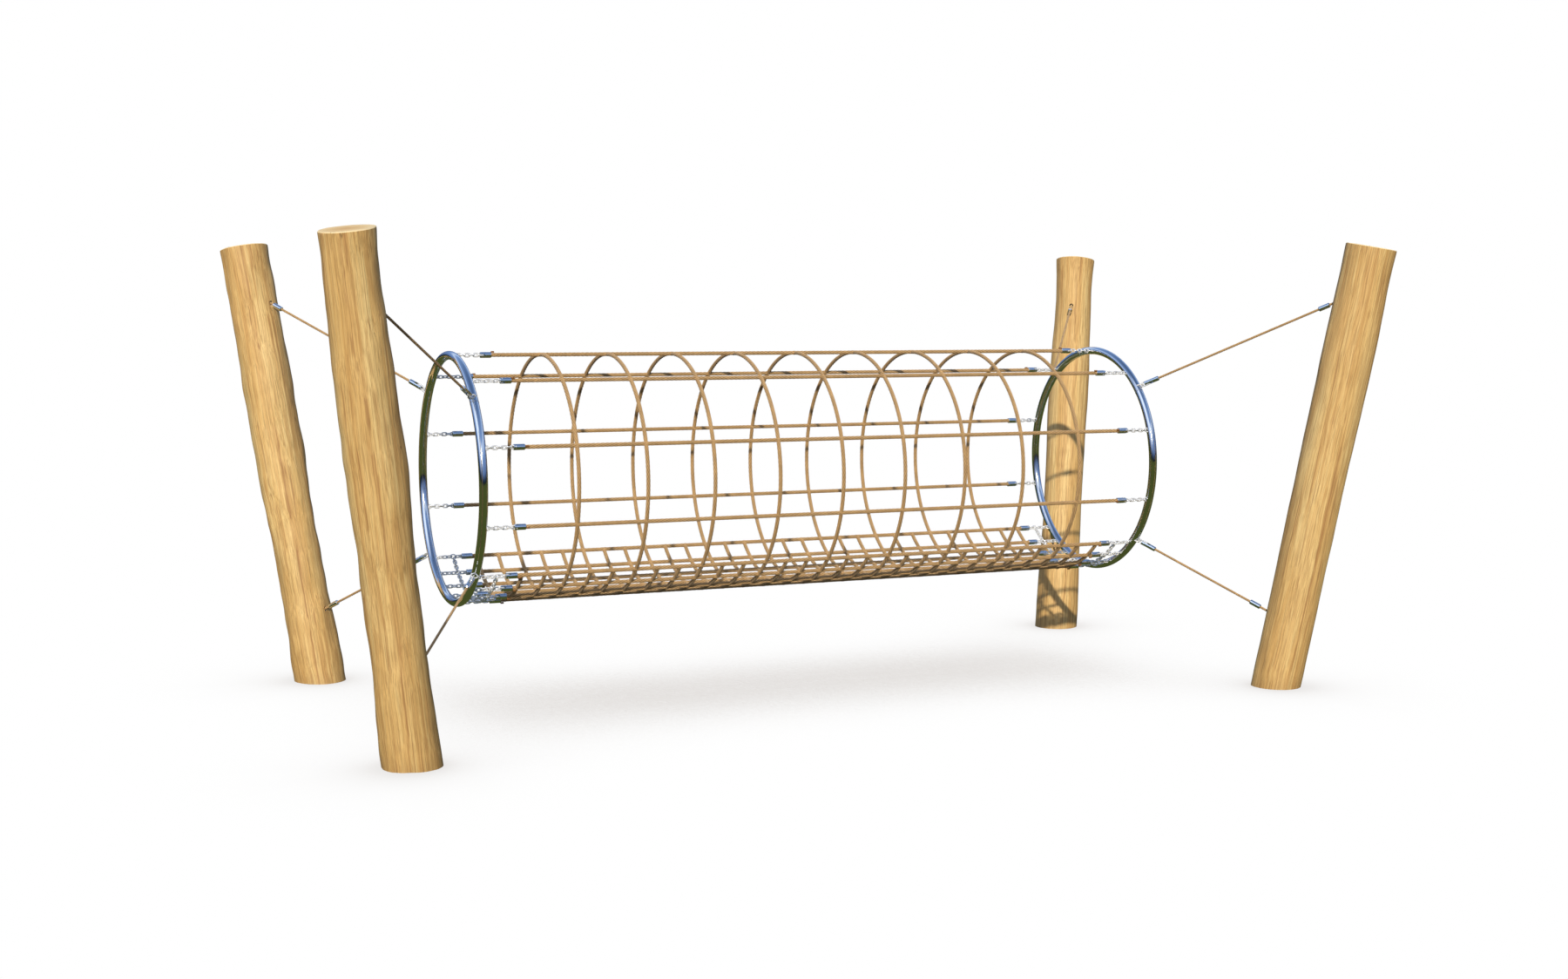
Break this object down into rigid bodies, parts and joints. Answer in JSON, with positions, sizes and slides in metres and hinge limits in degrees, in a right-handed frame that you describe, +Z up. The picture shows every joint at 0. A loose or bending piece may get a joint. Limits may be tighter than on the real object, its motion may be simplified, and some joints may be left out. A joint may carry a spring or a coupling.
{
  "type": "suspended rope net crawl tunnel",
  "caption": "Rope net crawl tunnel held open by steel rings and hung by rope stays between leaning debarked timber posts.",
  "frame": {"origin": "on the ground, at the centre of the four post feet and under the middle of the tunnel", "axes": "+X along the tunnel, +Y across it, +Z up"},
  "size_m": [4.3581, 2.4321, 1.864],
  "materials": {
    "robinia_wood": "debarked and sanded round timber, honey coloured with brown streaks along the grain",
    "net_rope": "laid steel-core rope with a tan polyester cover",
    "cut_rope": "heat-sealed cut rope end",
    "polished_tube": "mirror polished stainless tube",
    "weld_steel": "ground weld bead",
    "chain_steel": "electropolished stainless round wire",
    "swaged_fittings": "pressed stainless, satin with soft sheen",
    "anchor_steel": "turned steel bush"
  },
  "bodies": {
    "posts": {"post_near_left": "robinia_wood", "post_far_left": "robinia_wood", "post_near_right": "robinia_wood", "post_far_right": "robinia_wood", "stay_sockets_near_left": "anchor_steel", "stay_sockets_far_left": "anchor_steel", "stay_sockets_near_right": "anchor_steel", "stay_sockets_far_right": "anchor_steel"},
    "tunnel": {"ring_left": "polished_tube", "ring_right": "polished_tube", "ring_weld_left": "weld_steel", "ring_weld_right": "weld_steel", "ring_lugs_left": "chain_steel", "ring_lugs_right": "chain_steel", "stay_links_left": "chain_steel", "stay_links_right": "chain_steel", "rope_terminals_left": "swaged_fittings", "rope_terminals_right": "swaged_fittings", "terminal_pins_left": "chain_steel", "terminal_pins_right": "chain_steel", "rope_tails_left": "cut_rope", "rope_tails_right": "cut_rope", "end_chains_left": "chain_steel", "end_chains_right": "chain_steel", "floor_chain_mesh_left": "chain_steel", "floor_chain_mesh_right": "chain_steel", "hoop_rope_1": "net_rope", "hoop_rope_2": "net_rope", "hoop_rope_3": "net_rope", "hoop_rope_4": "net_rope", "hoop_rope_5": "net_rope", "hoop_rope_6": "net_rope", "hoop_rope_7": "net_rope", "hoop_rope_8": "net_rope", "hoop_rope_9": "net_rope", "top_rope": "net_rope", "shoulder_rope_far": "net_rope", "shoulder_rope_near": "net_rope", "upper_side_rope_far": "net_rope", "upper_side_rope_near": "net_rope", "lower_side_rope_far": "net_rope", "lower_side_rope_near": "net_rope", "floor_ropes": "net_rope", "floor_cross_ropes": "net_rope"},
    "stay_near_left_upper": {"stay_rope_near_left_upper": "net_rope", "stay_fittings_near_left_upper": "swaged_fittings"},
    "stay_near_left_lower": {"stay_rope_near_left_lower": "net_rope", "stay_fittings_near_left_lower": "swaged_fittings"},
    "stay_far_left_upper": {"stay_rope_far_left_upper": "net_rope", "stay_fittings_far_left_upper": "swaged_fittings"},
    "stay_far_left_lower": {"stay_rope_far_left_lower": "net_rope", "stay_fittings_far_left_lower": "swaged_fittings"},
    "stay_near_right_upper": {"stay_rope_near_right_upper": "net_rope", "stay_fittings_near_right_upper": "swaged_fittings"},
    "stay_near_right_lower": {"stay_rope_near_right_lower": "net_rope", "stay_fittings_near_right_lower": "swaged_fittings"},
    "stay_far_right_upper": {"stay_rope_far_right_upper": "net_rope", "stay_fittings_far_right_upper": "swaged_fittings"},
    "stay_far_right_lower": {"stay_rope_far_right_lower": "net_rope", "stay_fittings_far_right_lower": "swaged_fittings"}
  },
  "joints": [
    {"name": "tunnel_roll", "type": "hinge", "parent": "posts", "child": "tunnel", "pos_m": [0, 0, 0.919], "axis": [1, 0, 0], "range_deg": [-3, 3], "stiffness_Nm_per_rad": 300},
    {"name": "stay_near_left_upper_swing", "type": "hinge", "parent": "posts", "child": "stay_near_left_upper", "pos_m": [-2.01349, -1.03959, 1.62715], "axis": [-0.8142, 0.4317, -0.3882], "range_deg": [-2.6, 2.6]},
    {"name": "stay_near_left_lower_swing", "type": "hinge", "parent": "posts", "child": "stay_near_left_lower", "pos_m": [-1.83738, -0.86029, 0.29785], "axis": [-0.8407, 0.4023, 0.3624], "range_deg": [-2.6, 2.6]},
    {"name": "stay_far_left_upper_swing", "type": "hinge", "parent": "posts", "child": "stay_far_left_upper", "pos_m": [-2.00854, 1.03376, 1.62484], "axis": [-0.8146, -0.4313, -0.3879], "range_deg": [-2.6, 2.6]},
    {"name": "stay_far_left_lower_swing", "type": "hinge", "parent": "posts", "child": "stay_far_left_lower", "pos_m": [-1.83738, 0.8604, 0.29763], "axis": [-0.8408, -0.4022, 0.3623], "range_deg": [-2.6, 2.6]},
    {"name": "stay_near_right_upper_swing", "type": "hinge", "parent": "posts", "child": "stay_near_right_upper", "pos_m": [2.0073, -1.03196, 1.6233], "axis": [-0.8144, -0.4315, 0.3881], "range_deg": [-2.6, 2.6]},
    {"name": "stay_near_right_lower_swing", "type": "hinge", "parent": "posts", "child": "stay_near_right_lower", "pos_m": [1.83718, -0.86006, 0.29792], "axis": [-0.8408, -0.4023, -0.3623], "range_deg": [-2.6, 2.6]},
    {"name": "stay_far_right_upper_swing", "type": "hinge", "parent": "posts", "child": "stay_far_right_upper", "pos_m": [2.01167, 1.03772, 1.62703], "axis": [-0.8146, 0.4313, 0.3879], "range_deg": [-2.6, 2.6]},
    {"name": "stay_far_right_lower_swing", "type": "hinge", "parent": "posts", "child": "stay_far_right_lower", "pos_m": [1.83708, 0.85997, 0.29788], "axis": [-0.8408, 0.4022, -0.3623], "range_deg": [-2.6, 2.6]}
  ],
  "couplings": [
    {"joint": "stay_near_left_upper_swing", "follows": "tunnel_roll", "ratio": 0.56362},
    {"joint": "stay_near_left_lower_swing", "follows": "tunnel_roll", "ratio": 0.79704},
    {"joint": "stay_far_left_upper_swing", "follows": "tunnel_roll", "ratio": 0.56869},
    {"joint": "stay_far_left_lower_swing", "follows": "tunnel_roll", "ratio": 0.79687},
    {"joint": "stay_near_right_upper_swing", "follows": "tunnel_roll", "ratio": 0.57029},
    {"joint": "stay_near_right_lower_swing", "follows": "tunnel_roll", "ratio": 0.79743},
    {"joint": "stay_far_right_upper_swing", "follows": "tunnel_roll", "ratio": 0.56523},
    {"joint": "stay_far_right_lower_swing", "follows": "tunnel_roll", "ratio": 0.79758}
  ]
}
